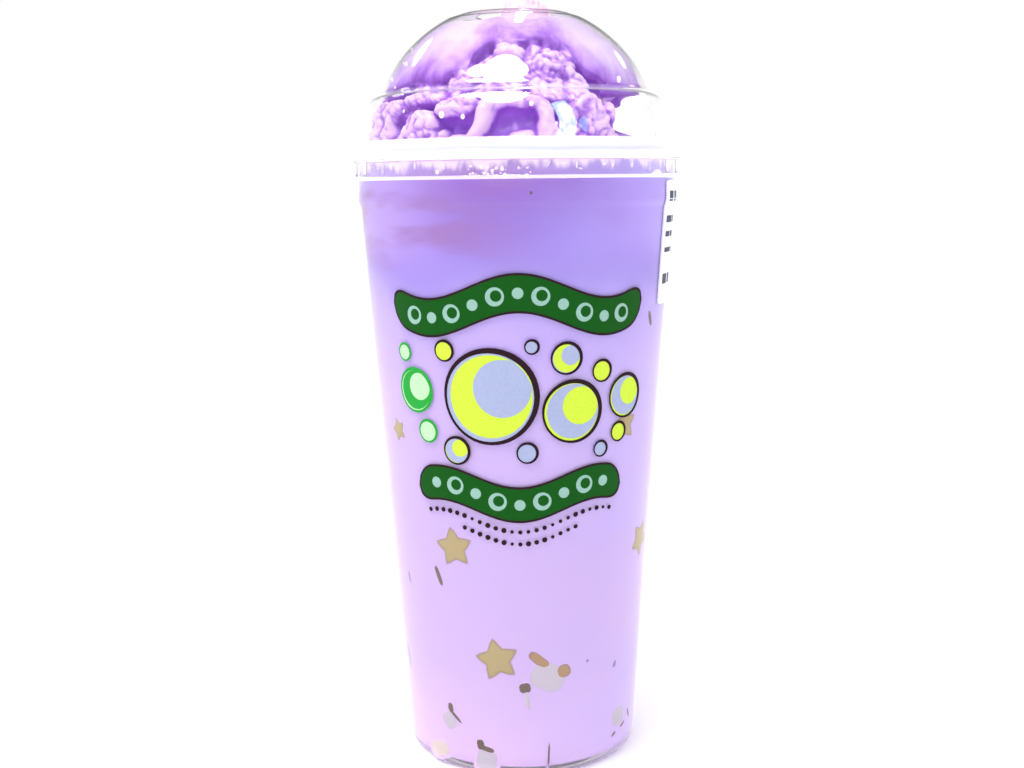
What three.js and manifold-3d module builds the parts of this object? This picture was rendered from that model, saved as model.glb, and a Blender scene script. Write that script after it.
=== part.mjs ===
// Taro bubble tea: a tall clear cup of milky lilac drink under a clear dome lid full of taro ice.
// Millimetres, +Z up, the origin on the table under the middle of the cup.
// Azimuth 0 is the front (-Y) and grows towards +X.

import * as THREE from 'three';
import { mergeVertices } from 'three/addons/utils/BufferGeometryUtils.js';
import Module from 'manifold-3d';

const wasm = await Module();
wasm.setup();

const turnSteps = 56; // flats round every turned piece
const gap = 0.3; // clearance between neighbours

const cup = {
  wall: 0.8,
  baseRadius: 33.1, // where the side's slant meets the table
  taper: 0.0706, // growth of the radius for each millimetre of height
  cornerRadius: 3.1,
  footInner: 27,
  recess: 1.8,
  floorTop: 2.8,
  shoulderLow: 158.5, // the side steps out here to an upright collar
  shoulderHigh: 160.5,
  shoulderRadius: 44.95,
  rimLow: 171.6,
  rimTop: 175.4,
  rimOuter: 45.35,
  rimInner: 43.4,
};

const lid = {
  skirtLow: 166.2,
  skirtOuter: 45.75,
  skirtInner: 45.25,
  lipOuter: 46.0,
  lipHeight: 0.7,
  bandLow: 171.2, // the thick band that grips the cup's rim
  bandOuter: 46.3,
  bandInner: 45.75,
  bandTop: 176.4,
  collar: [[44.6, 176.5], [43.45, 181.9], [42.55, 185.2], [41, 188.9], [37.9, 189.9]], // up to the dome's foot
  domeRadius: 41.65,
  domeCentre: 173.65,
  domeLow: 194,
  domeHigh: 210.6,
  flatTop: 211.8,
  flatRadius: 16.5,
  holeRadius: 10.5,
  wall: 0.6,
};

const ribs = { count: 28, width: 1.3, low: 167.6, high: 171.3, inner: 45.45, outer: 46.1 };

const drinkTop = 170.2;

const ice = {
  aroundSteps: 84,
  low: drinkTop + gap,
  neckRadius: 43.0, // clear of the cup's rim
  tipRadius: 6.8,
  tipShift: 2.8, // the tip leans to the right in the hole
  tipTop: 217.5,
  hoodLow: 189.5, // the smooth hood ends here at the sides and back
  hoodRise: 12, // and this much higher at the front
  hoodAzimuth: 3, // the middle of its arch
  hoodSpread: 28,
  baseDepth: 5.6, // how deep the gaps between the lumps are
  // an open place at the right, between two azimuths and two heights, each with the width of its slope
  pocket: { from: 38, to: 142, slope: 14, depth: 15.5, low: 174, floor: 180, ceiling: 187.5, high: 191 },
};

// The larger lobes in front: azimuth and height along each, its radius and how deep its crown lies.
const frontLobes = [
  { path: [[-45, 187.9], [-33.6, 188]], radius: 4, crown: 0.4 },
  { path: [[-56.9, 183.1], [-52.9, 186.6]], radius: 4.2, crown: 0.6 },
  { path: [[-69, 182], [-66, 187]], radius: 4.2, crown: 0.7 },
  { path: [[-60.2, 178.2], [-58.4, 180.2]], radius: 4, crown: 0.8 },
  { path: [[-27.2, 190], [-19.6, 192.6]], radius: 4.4, crown: 0.3 },
  { path: [[-19.7, 188.1], [-12, 189.4]], radius: 4.2, crown: 0.5 },
  { path: [[-28.7, 185.5], [-17.3, 187]], radius: 4, crown: 0.3 },
  { path: [[-41.4, 179.7], [-35.9, 181.4]], radius: 4.8, crown: 0.3 },
  { path: [[-16.4, 176.9], [-12.4, 182.6], [-7.3, 186.5]], radius: 4.2, crown: 0.5 },
  { path: [[12.8, 177.6], [12, 182.9], [8.8, 186.4]], radius: 4, crown: 0.8 },
  { path: [[-7.3, 187.1], [-1.2, 188], [7.1, 187.2]], radius: 3.8, crown: 0.6 },
  { path: [[-15.4, 193.5], [0, 191.3]], radius: 4.8, crown: 0.4 },
  { path: [[-4.9, 198.7], [1.4, 197.6]], radius: 4.4, crown: 0.2 },
  { path: [[12.4, 196.5], [20.9, 196]], radius: 6.2, crown: 0.2 },
  { path: [[9.2, 190.2], [19.1, 190.2]], radius: 4, crown: 0.6 },
  { path: [[28, 189.8], [28.4, 185.5], [32.6, 180.5]], radius: 5.2, crown: 0.3 },
  { path: [[19.7, 179.4], [37, 177.7]], radius: 3.8, crown: 0.9 },
];

// Rows of lumps round the sides and back, and the azimuths between which they stand.
const scattered = {
  rows: [{ height: 176.5, count: 30 }, { height: 182.5, count: 30 }, { height: 187.5, count: 27 }],
  leftEnd: -82,
  rightEnd: 68,
};

const label = {
  firstStep: 10, // its upright edges lie on the cup's own edges
  steps: 10,
  low: 131.5,
  high: 165.5,
  thickness: 0.3,
};

const finish = {
  cup: { color: 0xf1ecf6, roughness: 0.12, metalness: 0, transparent: true, opacity: 0.35 },
  lid: { color: 0xf4f2fa, roughness: 0.1, metalness: 0, transparent: true, opacity: 0.35 },
  drink: { color: 0xd9c3f1, roughness: 0.35, metalness: 0 },
  ice: { color: 0xc39ae8, roughness: 0.55, metalness: 0 },
  label: { color: 0xfbfbfd, roughness: 0.6, metalness: 0 },
};

const stepAngle = (2 * Math.PI) / turnSteps;

function cupSideRadius(height) {
  return cup.baseRadius + cup.taper * height;
}

// Points of an arc, from one angle to another in degrees, both ends included.
function arcPoints(centreR, centreZ, radius, fromDegrees, toDegrees, steps) {
  const points = [];
  for (let i = 0; i <= steps; i += 1) {
    const angle = THREE.MathUtils.degToRad(fromDegrees + ((toDegrees - fromDegrees) * i) / steps);
    points.push([centreR + radius * Math.cos(angle), centreZ + radius * Math.sin(angle)]);
  }
  return points;
}

// A solid of revolution from [radius, height] points that go round its section anticlockwise.
function turned(section) {
  const points = section.map(([r, z]) => new THREE.Vector2(r, z));
  const geometry = new THREE.LatheGeometry(points, turnSteps);
  geometry.rotateX(Math.PI / 2);
  return geometry;
}

function closedLoop(section) {
  return [...section, section[0]];
}

function piece(name, geometry, look) {
  const mesh = new THREE.Mesh(geometry, new THREE.MeshStandardMaterial(look));
  mesh.name = name;
  return mesh;
}

// The outside of the cup from the foot to just under the rolled rim.
function cupOutside() {
  const slant = THREE.MathUtils.radToDeg(Math.atan(cup.taper));
  const corner = cup.cornerRadius;
  const centreR = cupSideRadius(corner) - corner / Math.cos(Math.atan(cup.taper));
  return [
    ...arcPoints(centreR, corner, corner, -90, -slant, 4),
    [cupSideRadius(80), 80],
    [cupSideRadius(cup.shoulderLow), cup.shoulderLow],
    [cup.shoulderRadius, cup.shoulderHigh],
    [cup.shoulderRadius, cup.rimLow],
  ];
}

// The inside of the cup, a wall's thickness in, from the floor's middle up to a height under the rim.
function cupInside(top, inset) {
  const wall = cup.wall + inset;
  const floor = cup.floorTop + inset;
  return [
    [0, floor],
    [cup.footInner + 2.2 - inset, floor],
    [cupSideRadius(floor + 2) - wall, floor + 2],
    [cupSideRadius(80) - wall, 80],
    [cupSideRadius(cup.shoulderLow) - wall, cup.shoulderLow],
    [cup.shoulderRadius - wall, cup.shoulderHigh],
    [cup.shoulderRadius - wall, top],
  ];
}

function makeCup() {
  const rimRound = 0.6;
  const section = [
    [0, cup.recess],
    [cup.footInner - 1, cup.recess],
    [cup.footInner, 0],
    ...cupOutside(),
    [cup.rimOuter, cup.rimLow + rimRound],
    [cup.rimOuter, cup.rimTop - rimRound],
    [cup.rimOuter - rimRound, cup.rimTop],
    [cup.rimInner + rimRound, cup.rimTop],
    [cup.rimInner, cup.rimTop - rimRound],
    [cup.rimInner, cup.rimLow + rimRound],
    ...cupInside(cup.rimLow, 0).reverse(),
  ];
  return piece('cup', turned(section), finish.cup);
}

function makeDrink() {
  const section = [...cupInside(drinkTop, gap), [0, drinkTop]];
  return piece('drink', turned(section), finish.drink);
}

// The sphere of the dome at a given inset, between two heights.
function domeArc(inset, low, high, steps) {
  const radius = lid.domeRadius - inset;
  const angleAt = (height) => THREE.MathUtils.radToDeg(Math.asin((height - lid.domeCentre) / radius));
  return arcPoints(0, lid.domeCentre, radius, angleAt(low), angleAt(high), steps);
}

// The same outline moved to the left of its direction of travel.
function inwards(outline, distance) {
  return outline.map(([r, z], i) => {
    const [beforeR, beforeZ] = outline[Math.max(0, i - 1)];
    const [afterR, afterZ] = outline[Math.min(outline.length - 1, i + 1)];
    const run = Math.hypot(afterR - beforeR, afterZ - beforeZ);
    return [r - (distance * (afterZ - beforeZ)) / run, z + (distance * (afterR - beforeR)) / run];
  });
}

// The lid's outer face from the band up over the collar, its rounded shoulder and the dome to the hole.
function domeSide() {
  return [
    ...lid.collar,
    ...domeArc(0, lid.domeLow, lid.domeHigh, 6),
    [lid.flatRadius, lid.flatTop],
    [lid.holeRadius, lid.flatTop],
  ];
}

function makeLidShell() {
  const outside = [
    [lid.skirtInner, lid.skirtLow],
    [lid.lipOuter, lid.skirtLow],
    [lid.lipOuter, lid.skirtLow + lid.lipHeight],
    [lid.skirtOuter, lid.skirtLow + lid.lipHeight + 0.3],
    [lid.skirtOuter, lid.bandLow - 0.4],
    [lid.bandOuter, lid.bandLow + 0.2],
    [lid.bandOuter, lid.bandTop - 0.9],
    [lid.bandOuter - 0.5, lid.bandTop],
    ...domeSide(),
  ];
  const inside = [
    [lid.skirtInner, lid.bandLow - 0.4],
    [lid.bandInner, lid.bandLow + 0.4],
    [lid.bandInner, cup.rimTop + gap],
    [lid.collar[0][0] - lid.wall - 0.1, cup.rimTop + gap + 0.2],
    ...inwards(domeSide(), lid.wall).slice(1),
  ];
  return turned(closedLoop([...outside, ...inside.reverse()]));
}

function toSolid(geometry) {
  const bare = geometry.clone();
  bare.deleteAttribute('normal');
  bare.deleteAttribute('uv');
  const merged = mergeVertices(bare, 1e-4);
  return new wasm.Manifold(new wasm.Mesh({
    numProp: 3,
    vertProperties: new Float32Array(merged.attributes.position.array),
    triVerts: new Uint32Array(merged.index.array),
  }));
}

function toGeometry(solid) {
  const mesh = solid.getMesh();
  const geometry = new THREE.BufferGeometry();
  geometry.setAttribute('position', new THREE.BufferAttribute(mesh.vertProperties, 3));
  geometry.setIndex(new THREE.BufferAttribute(mesh.triVerts, 1));
  geometry.computeVertexNormals();
  return geometry;
}

// The lid with its short upright grip ribs under the band.
function makeLid() {
  let solid = toSolid(makeLidShell());
  const depth = ribs.outer - ribs.inner;
  const height = ribs.high - ribs.low;
  for (let i = 0; i < ribs.count; i += 1) {
    const rib = new THREE.BoxGeometry(ribs.width, depth, height);
    rib.translate(0, -(ribs.inner + depth / 2), ribs.low + height / 2);
    rib.rotateZ((2 * Math.PI * i) / ribs.count);
    solid = solid.add(toSolid(rib));
  }
  return piece('dome_lid', toGeometry(solid), finish.lid);
}

// The room that the lid leaves the ice, from the drink's surface up and out through the hole.
function iceLimit() {
  const clear = lid.wall + gap + 0.1;
  const neck = [
    [ice.neckRadius, ice.low],
    [ice.neckRadius, ice.low + 2.6],
    [ice.neckRadius, cup.rimTop + 0.6],
  ];
  const collar = inwards(domeSide(), clear).slice(1, lid.collar.length);
  const dome = domeArc(clear, lid.domeLow, lid.domeHigh - clear - 0.4, 10);
  const tip = [
    [ice.tipRadius + 0.4, lid.flatTop - clear - 0.2],
    [ice.tipRadius, lid.flatTop + 0.4],
    [ice.tipRadius - 0.9, ice.tipTop - 2.2],
    [ice.tipRadius - 3.4, ice.tipTop - 0.5],
  ];
  return [...neck, ...collar, ...dome, ...tip];
}

// Lumps all round the sides and back, row over row, each a little off its regular place.
function scatteredLumps() {
  const lumps = [];
  scattered.rows.forEach(({ height, count }, row) => {
    for (let i = 0; i < count; i += 1) {
      const wobble = Math.sin(12.9898 * (i + 1) + 78.233 * (row + 1));
      const azimuth = (360 * (i + 0.5 * (row % 2) + 0.25 * wobble)) / count - 180;
      if (azimuth > scattered.leftEnd && azimuth < scattered.rightEnd) continue;
      const place = [azimuth, height + 1.4 * wobble];
      lumps.push({ path: [place, place], radius: 5.2 + 0.9 * wobble, crown: 0.9 - 0.6 * wobble });
    }
  });
  return lumps;
}

function onCylinder(azimuthDegrees, radius, height) {
  const azimuth = THREE.MathUtils.degToRad(azimuthDegrees);
  return new THREE.Vector3(radius * Math.sin(azimuth), -radius * Math.cos(azimuth), height);
}

function limitRadiusAt(limit, height) {
  for (let i = 1; i < limit.length; i += 1) {
    const [lowR, lowZ] = limit[i - 1];
    const [highR, highZ] = limit[i];
    if (height <= highZ) return lowR + ((highR - lowR) * (height - lowZ)) / (highZ - lowZ);
  }
  return limit[limit.length - 1][0];
}

// How far a place is from the line through a lump's middle.
function distanceTo(points, place) {
  const nearest = new THREE.Vector3();
  const distances = points.slice(1).map((end, i) => (
    new THREE.Line3(points[i], end).closestPointToPoint(place, true, nearest).distanceTo(place)
  ));
  return Math.min(...distances);
}

// How much a place of the ice belongs to the open pocket at the right, 0 to 1.
function pocketShare(azimuthDegrees, height) {
  const { pocket } = ice;
  const { smoothstep } = THREE.MathUtils;
  const round = smoothstep(azimuthDegrees, pocket.from, pocket.from + pocket.slope)
    * (1 - smoothstep(azimuthDegrees, pocket.to - pocket.slope, pocket.to));
  const up = smoothstep(height, pocket.low, pocket.floor)
    * (1 - smoothstep(height, pocket.ceiling, pocket.high));
  return round * up;
}

// How far the ice lies behind its limit, at one place of it, without the pocket.
function iceDepth(azimuthDegrees, place, lumps) {
  const { smoothstep } = THREE.MathUtils;
  const height = place.z;
  const hoodEdge = ice.hoodLow
    + ice.hoodRise * Math.exp(-(((azimuthDegrees - ice.hoodAzimuth) / ice.hoodSpread) ** 4));
  const underHood = 1 - smoothstep(height, hoodEdge - 1.5, hoodEdge + 1);
  const aboveNeck = smoothstep(height, ice.low, ice.low + 4);
  let depth = ice.baseDepth * underHood;
  for (const lump of lumps) {
    const distance = distanceTo(lump.points, place) / lump.radius;
    if (distance < 1) {
      const fall = 1 - Math.sqrt(1 - distance * distance);
      depth = Math.min(depth, lump.crown + (ice.baseDepth - lump.crown) * fall);
    }
  }
  return depth * aboveNeck * (1 - pocketShare(azimuthDegrees, height));
}

function makeIce() {
  const limit = iceLimit();
  const lumps = [...frontLobes, ...scatteredLumps()].map((lump) => ({
    ...lump,
    points: lump.path.map(([azimuth, height]) => onCylinder(azimuth, limitRadiusAt(limit, height), height)),
  }));
  const positions = [0, 0, ice.low];
  limit.forEach(([radius, height], row) => {
    const [beforeR, beforeZ] = limit[Math.max(0, row - 1)];
    const [afterR, afterZ] = limit[Math.min(limit.length - 1, row + 1)];
    const run = Math.hypot(afterR - beforeR, afterZ - beforeZ);
    const inR = row === 0 ? 1 : (afterZ - beforeZ) / run;
    const inZ = row === 0 ? 0 : (beforeR - afterR) / run;
    const shift = ice.tipShift * THREE.MathUtils.smoothstep(height, lid.flatTop - 3, lid.flatTop);
    for (let i = 0; i < ice.aroundSteps; i += 1) {
      const azimuth = (360 * i) / ice.aroundSteps;
      const signed = azimuth > 180 ? azimuth - 360 : azimuth;
      const depth = iceDepth(signed, onCylinder(azimuth, radius, height), lumps);
      const inside = radius - inR * depth - ice.pocket.depth * pocketShare(signed, height);
      const at = onCylinder(azimuth, inside, Math.max(ice.low, height - inZ * depth));
      positions.push(at.x + shift, at.y, at.z);
    }
  });
  const last = positions.length / 3;
  positions.push(ice.tipShift, 0, ice.tipTop);
  const index = [];
  const around = ice.aroundSteps;
  const at = (row, i) => 1 + row * around + (i % around);
  for (let i = 0; i < around; i += 1) {
    index.push(0, at(0, i + 1), at(0, i));
    for (let row = 0; row + 1 < limit.length; row += 1) {
      index.push(at(row, i), at(row, i + 1), at(row + 1, i + 1));
      index.push(at(row, i), at(row + 1, i + 1), at(row + 1, i));
    }
    index.push(at(limit.length - 1, i), at(limit.length - 1, i + 1), last);
  }
  const geometry = new THREE.BufferGeometry();
  geometry.setAttribute('position', new THREE.Float32BufferAttribute(positions, 3));
  geometry.setIndex(index);
  geometry.computeVertexNormals();
  return piece('taro_ice', geometry, finish.ice);
}

// A paper label wrapped on the cup's side, edge on edge with the cup's own flats.
function makeLabel() {
  const near = gap;
  const far = gap + label.thickness;
  const heights = [label.low, cup.shoulderLow, cup.shoulderHigh, label.high];
  const radiusAt = (height) => (height < cup.shoulderHigh ? cupSideRadius(height) : cup.shoulderRadius);
  const section = [
    ...heights.map((height) => [radiusAt(height) + near, height]),
    ...heights.map((height) => [radiusAt(height) + far, height]).reverse(),
  ];
  const positions = [];
  for (let step = 0; step <= label.steps; step += 1) {
    const azimuth = THREE.MathUtils.radToDeg(stepAngle * (label.firstStep + step));
    for (const [radius, height] of section) positions.push(...onCylinder(azimuth, radius, height).toArray());
  }
  const ring = section.length;
  const index = [];
  for (let step = 0; step < label.steps; step += 1) {
    for (let i = 0; i < ring; i += 1) {
      const here = step * ring;
      const next = here + ring;
      const j = (i + 1) % ring;
      index.push(here + i, here + j, next + j, here + i, next + j, next + i);
    }
  }
  const end = label.steps * ring;
  for (let i = 0; i + 1 < heights.length; i += 1) {
    const across = ring - 1 - i;
    index.push(i, across, across - 1, i, across - 1, i + 1);
    index.push(end + i, end + across - 1, end + across, end + i, end + i + 1, end + across - 1);
  }
  const geometry = new THREE.BufferGeometry();
  geometry.setAttribute('position', new THREE.Float32BufferAttribute(positions, 3));
  geometry.setIndex(index);
  geometry.computeVertexNormals();
  return piece('order_label', geometry, finish.label);
}

const group = new THREE.Group();
group.add(makeCup(), makeLid(), makeDrink(), makeIce(), makeLabel());

export default group;
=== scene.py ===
# Taro bubble tea: a clear cup of lilac milk tea with star jellies, a dome lid full of taro ice.
# Sizes in the dictionaries are millimetres. Azimuths are degrees, 0 at the front and growing to the right.

import math
import random

import bpy
import numpy as np
from mathutils import Matrix, Vector, noise


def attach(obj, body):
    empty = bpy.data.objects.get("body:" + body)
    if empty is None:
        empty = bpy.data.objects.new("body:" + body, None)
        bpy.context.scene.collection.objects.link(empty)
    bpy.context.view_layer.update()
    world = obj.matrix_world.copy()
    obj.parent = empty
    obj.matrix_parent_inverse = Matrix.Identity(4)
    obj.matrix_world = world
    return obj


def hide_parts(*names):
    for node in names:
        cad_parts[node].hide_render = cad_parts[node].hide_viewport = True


mm = 0.001
weld = 0.004 * mm  # points nearer than this become one
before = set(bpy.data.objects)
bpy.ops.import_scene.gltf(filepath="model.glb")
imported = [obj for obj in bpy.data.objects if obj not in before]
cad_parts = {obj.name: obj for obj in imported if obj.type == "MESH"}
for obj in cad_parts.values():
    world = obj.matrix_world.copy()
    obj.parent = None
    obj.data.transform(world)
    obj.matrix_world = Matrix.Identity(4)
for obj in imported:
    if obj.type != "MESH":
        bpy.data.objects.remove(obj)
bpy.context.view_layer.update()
print("frame loaded, nodes:", ", ".join(sorted(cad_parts)))


# camera
cameraSetup = {
    "distance": 381.8,
    "height": 164.3,
    "lens": 46.3,
    "sensor": 36,
    "nearest": 10,  # anything closer isn't drawn
    "lookDown": 8.54,  # degrees
    "turn": 0.29,  # degrees, a touch to the left
    "roll": -0.69,  # degrees
}


def placeCamera(setup):
    bpy.ops.object.camera_add(location=(0, -setup["distance"] * mm, setup["height"] * mm))
    camera = bpy.context.object
    camera.name = "camera"
    camera.data.lens = setup["lens"]
    camera.data.sensor_width = setup["sensor"]
    camera.data.clip_start = setup["nearest"] * mm
    turn = Matrix.Rotation(math.radians(setup["turn"]), 3, "Z")
    tilt = Matrix.Rotation(math.radians(90 - setup["lookDown"]), 3, "X")
    roll = Matrix.Rotation(math.radians(setup["roll"]), 3, "Z")
    camera.rotation_euler = (turn @ tilt @ roll).to_euler()
    bpy.context.scene.camera = camera


placeCamera(cameraSetup)
print("camera placed")


# tools for modelling
def switchTo(mode):
    bpy.ops.object.mode_set(mode=mode)


def deselectAll():
    if bpy.context.object and bpy.context.object.mode != "OBJECT":
        switchTo("OBJECT")
    bpy.ops.object.select_all(action="DESELECT")


def pick(piece):
    deselectAll()
    piece.select_set(True)
    bpy.context.view_layer.objects.active = piece
    return piece


def named(piece, name):
    piece.name = name
    piece.data.name = name
    return piece


def selectPoints(piece, test):
    # back into edit mode with only the points that pass the test selected
    if piece.mode != "OBJECT":
        switchTo("OBJECT")
    mesh = piece.data
    mesh.polygons.foreach_set("select", [False] * len(mesh.polygons))
    mesh.edges.foreach_set("select", [False] * len(mesh.edges))
    mesh.vertices.foreach_set("select", [bool(test(v.co / mm)) for v in mesh.vertices])
    switchTo("EDIT")


def getPoints(piece):
    flat = np.empty(len(piece.data.vertices) * 3)
    piece.data.vertices.foreach_get("co", flat)
    return flat.reshape(-1, 3) / mm


def setPoints(piece, points):
    piece.data.vertices.foreach_set("co", (np.asarray(points) * mm).ravel())
    piece.data.update()


def joined(pieces, name):
    deselectAll()
    for one in pieces:
        one.select_set(True)
    bpy.context.view_layer.objects.active = pieces[0]
    if len(pieces) > 1:
        bpy.ops.object.join()
    return named(bpy.context.object, name)


def arc(centreR, centreZ, radius, start, end, steps):
    angles = [math.radians(start + (end - start) * i / steps) for i in range(steps + 1)]
    return [(centreR + radius * math.cos(a), centreZ + radius * math.sin(a)) for a in angles]


def rounded(corners, steps=5):
    # an outline through corners of radius, height and size, each corner cut back by its size and bowed
    mostOfSide = 0.49
    outline = []
    for i, (r, z, size) in enumerate(corners):
        if size == 0 or i in (0, len(corners) - 1):
            outline.append((r, z))
            continue
        here = np.array((r, z))
        before = np.array(corners[i - 1][:2]) - here
        after = np.array(corners[i + 1][:2]) - here
        start, end = [here + side * min(size / np.linalg.norm(side), mostOfSide) for side in (before, after)]
        for step in range(steps + 1):
            t = step / steps
            outline.append(tuple((1 - t) ** 2 * start + 2 * t * (1 - t) * here + t * t * end))
    return outline


def inwards(outline, distance):
    # the same outline moved to the left of its direction of travel
    moved = []
    for i, (r, z) in enumerate(outline):
        r0, z0 = outline[max(0, i - 1)]
        r1, z1 = outline[min(len(outline) - 1, i + 1)]
        length = math.hypot(r1 - r0, z1 - z0)
        moved.append((r - distance * (z1 - z0) / length, z + distance * (r1 - r0) / length))
    return moved


def resampled(outline, count):
    # the outline again with its points evenly apart
    points = np.array(outline)
    lengths = np.concatenate([[0], np.cumsum(np.hypot(*np.diff(points, axis=0).T))])
    wanted = np.linspace(0, lengths[-1], count)
    return list(zip(np.interp(wanted, lengths, points[:, 0]), np.interp(wanted, lengths, points[:, 1])))


def turned(name, outline, steps):
    # one point is pulled along the outline, and the line is spun round the cup's axis
    deselectAll()
    bpy.ops.mesh.primitive_plane_add(size=mm)
    piece = named(bpy.context.object, name)
    switchTo("EDIT")
    bpy.ops.mesh.merge(type="CENTER")
    bpy.ops.transform.translate(value=(outline[0][0] * mm, 0, outline[0][1] * mm))
    for (r0, z0), (r1, z1) in zip(outline, outline[1:]):
        step = ((r1 - r0) * mm, 0, (z1 - z0) * mm)
        bpy.ops.mesh.extrude_region_move(TRANSFORM_OT_translate={"value": step})
    bpy.ops.mesh.select_all(action="SELECT")
    bpy.ops.mesh.spin(steps=steps, angle=2 * math.pi, center=(0, 0, 0), axis=(0, 0, 1))
    bpy.ops.mesh.select_all(action="SELECT")
    bpy.ops.mesh.remove_doubles(threshold=weld)
    bpy.ops.mesh.normals_make_consistent(inside=False)
    switchTo("OBJECT")
    return piece


def shadeSmooth(piece, degrees=40):
    pick(piece)
    bpy.ops.object.shade_smooth_by_angle(angle=math.radians(degrees))
    return piece


def wrapped(piece, azimuth, height, surface):
    # lays a flat piece on the cup: its x runs round the cup, its y up, and its z out from the surface
    x, y, out = getPoints(piece).T
    angles = math.radians(azimuth) + x / surface(height)
    heights = height + y
    radii = surface(heights) + out
    setPoints(piece, np.stack([radii * np.sin(angles), -radii * np.cos(angles), heights], axis=1))
    return piece


def finished(piece, material, slot, *nodes):
    piece.data.materials.clear()
    piece.data.materials.append(material)
    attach(piece, "root")
    if nodes:
        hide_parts(*nodes)
    return piece


def smoothstep(low, high, value):
    share = np.clip((value - low) / (high - low), 0, 1)
    return share * share * (3 - 2 * share)


# tools for materials
def linear(red, green, blue):
    # a colour as it is read off a screen, 0 to 255, made linear
    parts = [c / 255 for c in (red, green, blue)]
    return tuple(c / 12.92 if c <= 0.04045 else ((c + 0.055) / 1.055) ** 2.4 for c in parts) + (1.0,)


def newMaterial(name):
    material = bpy.data.materials.new(name)
    material.use_nodes = True
    return material, material.node_tree.nodes["Principled BSDF"]


def give(socket, value):
    # a number or colour is set on the socket itself, and another node's output is linked
    if isinstance(value, bpy.types.NodeSocket):
        socket.id_data.links.new(value, socket)
    else:
        socket.default_value = value


def fill(node, inputs):
    for key, value in inputs.items():
        give(node.inputs[key], value)


def add(tree, kind, inputs=None, **settings):
    # a new node with its settings and its inputs, which go by name or number
    node = tree.nodes.new(kind)
    for key, value in settings.items():
        setattr(node, key, value)
    fill(node, inputs or {})
    return node


def reckon(operation, first, second=0.0):
    # at least one of the two is a node's output
    tree = (first if isinstance(first, bpy.types.NodeSocket) else second).id_data
    return add(tree, "ShaderNodeMath", {0: first, 1: second}, operation=operation).outputs[0]


def plus(first, second):
    return reckon("ADD", first, second)


def minus(first, second):
    return reckon("SUBTRACT", first, second)


def times(first, second):
    return reckon("MULTIPLY", first, second)


def swing(value, size):
    # a noise of 0 to 1 made to go half the size either way of nothing
    return times(minus(value, 0.5), size)


def remap(value, low, high, toLow=0.0, toHigh=1.0):
    inputs = {"Value": value, "From Min": low, "From Max": high, "To Min": toLow, "To Max": toHigh}
    return add(value.id_data, "ShaderNodeMapRange", inputs, interpolation_type="SMOOTHSTEP").outputs["Result"]


def mixColour(factor, first, second):
    return add(factor.id_data, "ShaderNodeMix", {0: factor, 6: first, 7: second}, data_type="RGBA").outputs[2]


def rampOf(factor, stops):
    node = add(factor.id_data, "ShaderNodeValToRGB", {"Fac": factor})
    elements = node.color_ramp.elements
    elements[0].position, elements[0].color = stops[0]
    elements[1].position, elements[1].color = stops[-1]
    for place, colour in stops[1:-1]:
        elements.new(place).color = colour
    return node.outputs["Color"]


def noiseAt(vector, scale, detail=3.0, roughness=0.5, stretch=None):
    tree = vector.id_data
    if stretch:
        vector = add(tree, "ShaderNodeMapping", {"Vector": vector, "Scale": stretch}).outputs["Vector"]
    inputs = {"Vector": vector, "Scale": scale, "Detail": detail, "Roughness": roughness}
    return add(tree, "ShaderNodeTexNoise", inputs).outputs["Fac"]


def ownPlace(tree):
    # the piece's own coordinates
    return add(tree, "ShaderNodeTexCoord").outputs["Object"]


def split(place):
    return add(place.id_data, "ShaderNodeSeparateXYZ", {0: place}).outputs


def newGroup(name, inputs, outputs):
    # inputs and outputs by name, each with its kind of socket
    group = bpy.data.node_groups.new(name, "ShaderNodeTree")
    for side, sockets in (("INPUT", inputs), ("OUTPUT", outputs)):
        for title, kind in sockets.items():
            group.interface.new_socket(title, in_out=side, socket_type=kind)
    return group, add(group, "NodeGroupOutput")


def placeGroup(tree, group, **inputs):
    return add(tree, "ShaderNodeGroup", inputs, node_tree=group).outputs


def makeFineGrain():
    # small uneven bumps and a light mottle, for every matt or moulded surface
    inputs = {"Scale": "NodeSocketFloat", "Bump": "NodeSocketFloat"}
    group, result = newGroup("fineGrain", inputs, {"Mottle": "NodeSocketFloat", "Normal": "NodeSocketVector"})
    given = add(group, "NodeGroupInput").outputs
    grain = noiseAt(ownPlace(group), given["Scale"], 4)
    relief = {"Height": grain, "Strength": given["Bump"], "Distance": 0.1 * mm}
    bump = add(group, "ShaderNodeBump", relief)
    fill(result, {"Mottle": grain, "Normal": bump.outputs["Normal"]})
    return group


fineGrain = makeFineGrain()


def grainOn(shader, scale, bump):
    # gives a shader the fine grain's bumps, and returns its mottle
    grain = placeGroup(shader.id_data, fineGrain, Scale=scale, Bump=bump)
    give(shader.inputs["Normal"], grain["Normal"])
    return grain["Mottle"]


# the cup: sizes that the drink, the print and the label also follow
cup = {
    "wall": 0.8,
    "baseRadius": 33.1,
    "taper": 0.0706,
    "corner": 3.1,
    "footInner": 27.0,
    "recess": 1.8,
    "floorTop": 2.8,
    "floorCorner": 3.2,
    "straightFrom": 6,  # the outside is straight from here up, the inside from a little above
    "shoulderLow": 158.2,
    "shoulderHigh": 160.8,
    "shoulderRadius": 44.95,
    "rimLow": 171.6,
    "rimTop": 175.4,
    "rimOuter": 45.35,
    "rimInner": 43.4,
    "steps": 192,
    "plastic": {
        "tint": (0.98, 0.97, 0.99, 1),
        "edgeShadeTint": (0.5, 0.45, 0.6, 1),
        "edgeLow": 300,  # its edges get painted shade above this height, so not at all
        "highlightLines": [(0.5, 4.5, 0.07)],  # height, half thickness and strength of its glowing painted highlight lines
        "bump": 0.03,
    },
}


def cupSide(height):
    # the outer radius at a height, with the soft step up to the shoulder
    slant = cup["baseRadius"] + cup["taper"] * height
    share = smoothstep(cup["shoulderLow"], cup["shoulderHigh"], height)
    return slant + (cup["shoulderRadius"] - slant) * share


def innerWall(height):
    return cupSide(height) - cup["wall"]


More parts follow.
